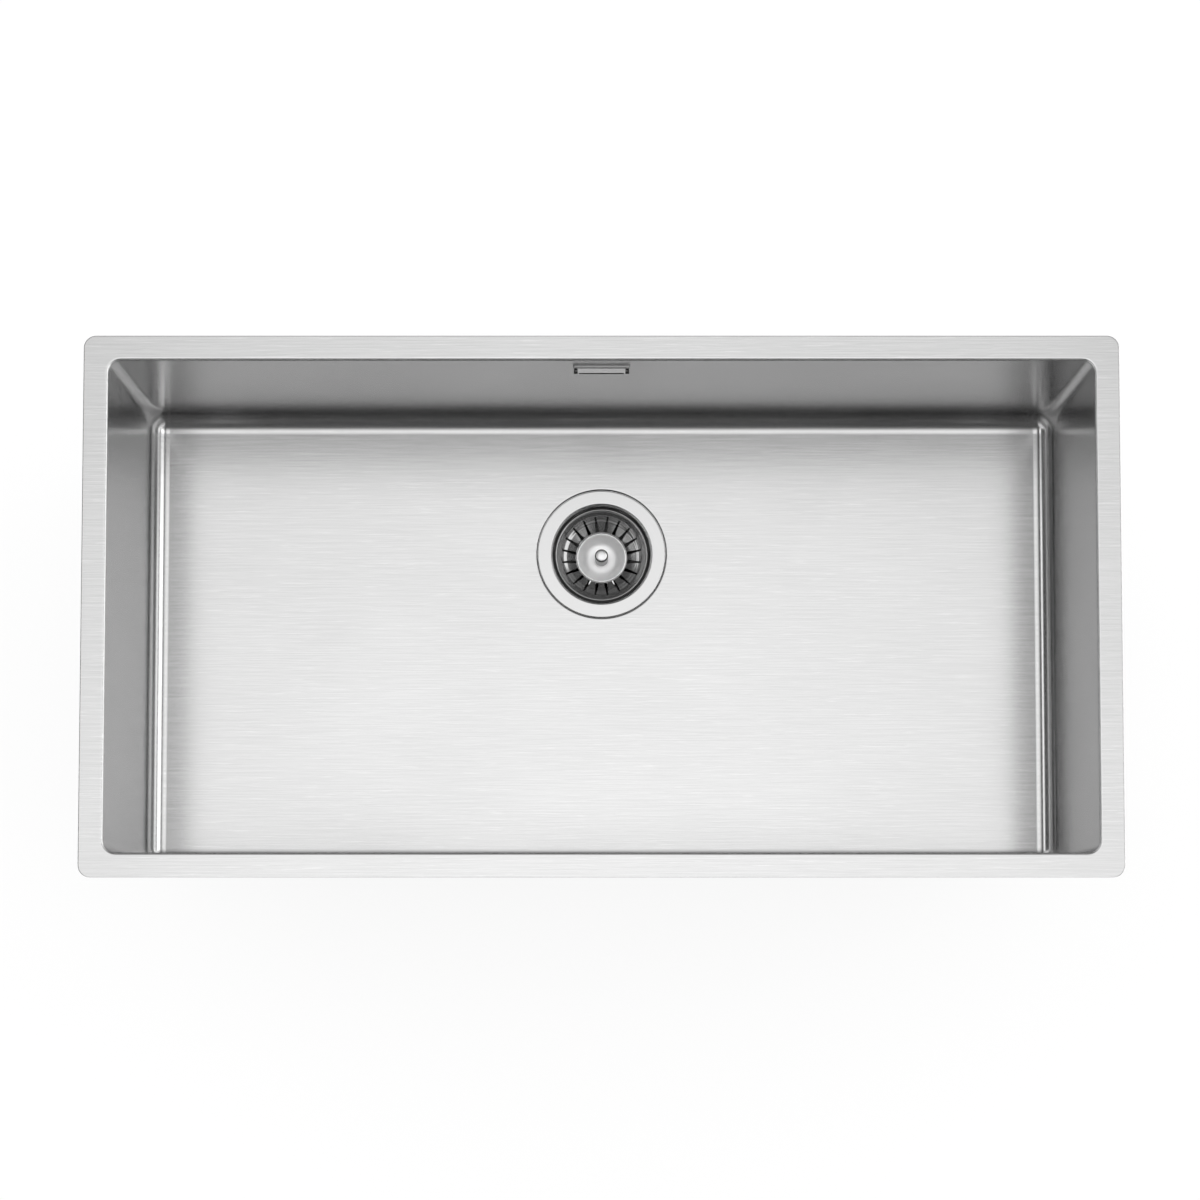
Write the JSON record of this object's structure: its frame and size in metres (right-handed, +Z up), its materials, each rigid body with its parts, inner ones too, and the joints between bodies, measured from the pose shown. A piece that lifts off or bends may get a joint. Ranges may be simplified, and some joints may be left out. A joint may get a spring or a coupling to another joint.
{
  "type": "inset kitchen sink",
  "caption": "Inset kitchen sink: deep rectangular brushed stainless steel bowl with a slim rim, flush basket strainer waste, wall overflow and swing-out worktop clamps.",
  "frame": {"origin": "centre of the worktop cut-out, on the worktop's top face, where the pressed sealing tape beds", "axes": "+X to the right along the sink's length for a person who stands at it, +Y back towards the wall with the overflow, +Z up out of the bowl"},
  "size_m": [0.84, 0.4572, 0.2972],
  "materials": {
    "brushed_steel": "brushed along the length",
    "satin_steel": "satin",
    "polished_steel": "polished",
    "zinc_steel": "zinc plated",
    "brass": "machined",
    "black_rubber": "matt",
    "grey_rubber": "matt",
    "grey_foam": "matt",
    "black_plastic": "moulded",
    "hose_plastic": "moulded"
  },
  "bodies": {
    "root": {"sink_bowl": "brushed_steel", "foam_sealing_tape": "grey_foam", "floor_pads": "grey_rubber", "wall_pads": "grey_rubber", "earth_tag": "zinc_steel", "clip_brackets": "zinc_steel", "strainer_flange": "satin_steel", "flange_gasket": "black_rubber", "waste_gasket": "black_rubber", "waste_body": "black_plastic", "waste_tail": "black_plastic", "centre_screw": "polished_steel", "hub_insert": "brass", "overflow_plate": "satin_steel", "overflow_screws": "zinc_steel", "overflow_gasket": "black_rubber", "overflow_box": "black_plastic", "overflow_hose": "hose_plastic", "hose_clips": "zinc_steel"},
    "stem": {"basket_stem": "polished_steel", "stem_ring": "polished_steel"},
    "basket": {"strainer_basket": "polished_steel", "basket_seal": "black_rubber", "basket_knob": "satin_steel"},
    "clip_rear_left_screw": {"clip_rear_left_screw": "zinc_steel"},
    "clip_rear_left_nut": {"clip_rear_left_nut": "zinc_steel"},
    "clip_rear_left_claw": {"clip_rear_left_claw": "zinc_steel"},
    "clip_front_left_screw": {"clip_front_left_screw": "zinc_steel"},
    "clip_front_left_nut": {"clip_front_left_nut": "zinc_steel"},
    "clip_front_left_claw": {"clip_front_left_claw": "zinc_steel"},
    "clip_rear_right_screw": {"clip_rear_right_screw": "zinc_steel"},
    "clip_rear_right_nut": {"clip_rear_right_nut": "zinc_steel"},
    "clip_rear_right_claw": {"clip_rear_right_claw": "zinc_steel"},
    "clip_front_right_screw": {"clip_front_right_screw": "zinc_steel"},
    "clip_front_right_nut": {"clip_front_right_nut": "zinc_steel"},
    "clip_front_right_claw": {"clip_front_right_claw": "zinc_steel"},
    "clip_left_rear_screw": {"clip_left_rear_screw": "zinc_steel"},
    "clip_left_rear_nut": {"clip_left_rear_nut": "zinc_steel"},
    "clip_left_rear_claw": {"clip_left_rear_claw": "zinc_steel"},
    "clip_right_rear_screw": {"clip_right_rear_screw": "zinc_steel"},
    "clip_right_rear_nut": {"clip_right_rear_nut": "zinc_steel"},
    "clip_right_rear_claw": {"clip_right_rear_claw": "zinc_steel"},
    "clip_left_front_screw": {"clip_left_front_screw": "zinc_steel"},
    "clip_left_front_nut": {"clip_left_front_nut": "zinc_steel"},
    "clip_left_front_claw": {"clip_left_front_claw": "zinc_steel"},
    "clip_right_front_screw": {"clip_right_front_screw": "zinc_steel"},
    "clip_right_front_nut": {"clip_right_front_nut": "zinc_steel"},
    "clip_right_front_claw": {"clip_right_front_claw": "zinc_steel"}
  },
  "joints": [
    {"name": "strainer_lift", "type": "slide", "parent": "root", "child": "stem", "axis": [0, 0, 1], "range_m": [0, 0.26]},
    {"name": "strainer_turn", "type": "hinge", "parent": "stem", "child": "basket", "pos_m": [0, 0.0774, -0.2078], "axis": [0, 0, 1], "continuous": true},
    {"name": "clip_rear_left_screw_turn", "type": "hinge", "parent": "root", "child": "clip_rear_left_screw", "pos_m": [-0.23, 0.2056, -0.058], "axis": [0, 0, -1], "range_deg": [0, 13680]},
    {"name": "clip_rear_left_nut_climb", "type": "slide", "parent": "root", "child": "clip_rear_left_nut", "axis": [0, 0, 1], "range_m": [0, 0.0304]},
    {"name": "clip_rear_left_claw_swing", "type": "hinge", "parent": "clip_rear_left_nut", "child": "clip_rear_left_claw", "pos_m": [-0.23, 0.2056, -0.051], "axis": [0, 0, 1], "range_deg": [0, 90]},
    {"name": "clip_front_left_screw_turn", "type": "hinge", "parent": "root", "child": "clip_front_left_screw", "pos_m": [-0.23, -0.2056, -0.058], "axis": [0, 0, -1], "range_deg": [0, 13680]},
    {"name": "clip_front_left_nut_climb", "type": "slide", "parent": "root", "child": "clip_front_left_nut", "axis": [0, 0, 1], "range_m": [0, 0.0304]},
    {"name": "clip_front_left_claw_swing", "type": "hinge", "parent": "clip_front_left_nut", "child": "clip_front_left_claw", "pos_m": [-0.23, -0.2056, -0.051], "axis": [0, 0, 1], "range_deg": [0, 90]},
    {"name": "clip_rear_right_screw_turn", "type": "hinge", "parent": "root", "child": "clip_rear_right_screw", "pos_m": [0.23, 0.2056, -0.058], "axis": [0, 0, -1], "range_deg": [0, 13680]},
    {"name": "clip_rear_right_nut_climb", "type": "slide", "parent": "root", "child": "clip_rear_right_nut", "axis": [0, 0, 1], "range_m": [0, 0.0304]},
    {"name": "clip_rear_right_claw_swing", "type": "hinge", "parent": "clip_rear_right_nut", "child": "clip_rear_right_claw", "pos_m": [0.23, 0.2056, -0.051], "axis": [0, 0, 1], "range_deg": [0, 90]},
    {"name": "clip_front_right_screw_turn", "type": "hinge", "parent": "root", "child": "clip_front_right_screw", "pos_m": [0.23, -0.2056, -0.058], "axis": [0, 0, -1], "range_deg": [0, 13680]},
    {"name": "clip_front_right_nut_climb", "type": "slide", "parent": "root", "child": "clip_front_right_nut", "axis": [0, 0, 1], "range_m": [0, 0.0304]},
    {"name": "clip_front_right_claw_swing", "type": "hinge", "parent": "clip_front_right_nut", "child": "clip_front_right_claw", "pos_m": [0.23, -0.2056, -0.051], "axis": [0, 0, 1], "range_deg": [0, 90]},
    {"name": "clip_left_rear_screw_turn", "type": "hinge", "parent": "root", "child": "clip_left_rear_screw", "pos_m": [-0.4056, 0.1, -0.058], "axis": [0, 0, -1], "range_deg": [0, 13680]},
    {"name": "clip_left_rear_nut_climb", "type": "slide", "parent": "root", "child": "clip_left_rear_nut", "axis": [0, 0, 1], "range_m": [0, 0.0304]},
    {"name": "clip_left_rear_claw_swing", "type": "hinge", "parent": "clip_left_rear_nut", "child": "clip_left_rear_claw", "pos_m": [-0.4056, 0.1, -0.051], "axis": [0, 0, 1], "range_deg": [0, 90]},
    {"name": "clip_right_rear_screw_turn", "type": "hinge", "parent": "root", "child": "clip_right_rear_screw", "pos_m": [0.4056, 0.1, -0.058], "axis": [0, 0, -1], "range_deg": [0, 13680]},
    {"name": "clip_right_rear_nut_climb", "type": "slide", "parent": "root", "child": "clip_right_rear_nut", "axis": [0, 0, 1], "range_m": [0, 0.0304]},
    {"name": "clip_right_rear_claw_swing", "type": "hinge", "parent": "clip_right_rear_nut", "child": "clip_right_rear_claw", "pos_m": [0.4056, 0.1, -0.051], "axis": [0, 0, 1], "range_deg": [0, 90]},
    {"name": "clip_left_front_screw_turn", "type": "hinge", "parent": "root", "child": "clip_left_front_screw", "pos_m": [-0.4056, -0.1, -0.058], "axis": [0, 0, -1], "range_deg": [0, 13680]},
    {"name": "clip_left_front_nut_climb", "type": "slide", "parent": "root", "child": "clip_left_front_nut", "axis": [0, 0, 1], "range_m": [0, 0.0304]},
    {"name": "clip_left_front_claw_swing", "type": "hinge", "parent": "clip_left_front_nut", "child": "clip_left_front_claw", "pos_m": [-0.4056, -0.1, -0.051], "axis": [0, 0, 1], "range_deg": [0, 90]},
    {"name": "clip_right_front_screw_turn", "type": "hinge", "parent": "root", "child": "clip_right_front_screw", "pos_m": [0.4056, -0.1, -0.058], "axis": [0, 0, -1], "range_deg": [0, 13680]},
    {"name": "clip_right_front_nut_climb", "type": "slide", "parent": "root", "child": "clip_right_front_nut", "axis": [0, 0, 1], "range_m": [0, 0.0304]},
    {"name": "clip_right_front_claw_swing", "type": "hinge", "parent": "clip_right_front_nut", "child": "clip_right_front_claw", "pos_m": [0.4056, -0.1, -0.051], "axis": [0, 0, 1], "range_deg": [0, 90]}
  ],
  "couplings": [
    {"joint": "clip_rear_left_screw_turn", "follows": "clip_rear_left_nut_climb", "rad_per_m": 7854},
    {"joint": "clip_front_left_screw_turn", "follows": "clip_front_left_nut_climb", "rad_per_m": 7854},
    {"joint": "clip_rear_right_screw_turn", "follows": "clip_rear_right_nut_climb", "rad_per_m": 7854},
    {"joint": "clip_front_right_screw_turn", "follows": "clip_front_right_nut_climb", "rad_per_m": 7854},
    {"joint": "clip_left_rear_screw_turn", "follows": "clip_left_rear_nut_climb", "rad_per_m": 7854},
    {"joint": "clip_right_rear_screw_turn", "follows": "clip_right_rear_nut_climb", "rad_per_m": 7854},
    {"joint": "clip_left_front_screw_turn", "follows": "clip_left_front_nut_climb", "rad_per_m": 7854},
    {"joint": "clip_right_front_screw_turn", "follows": "clip_right_front_nut_climb", "rad_per_m": 7854}
  ]
}
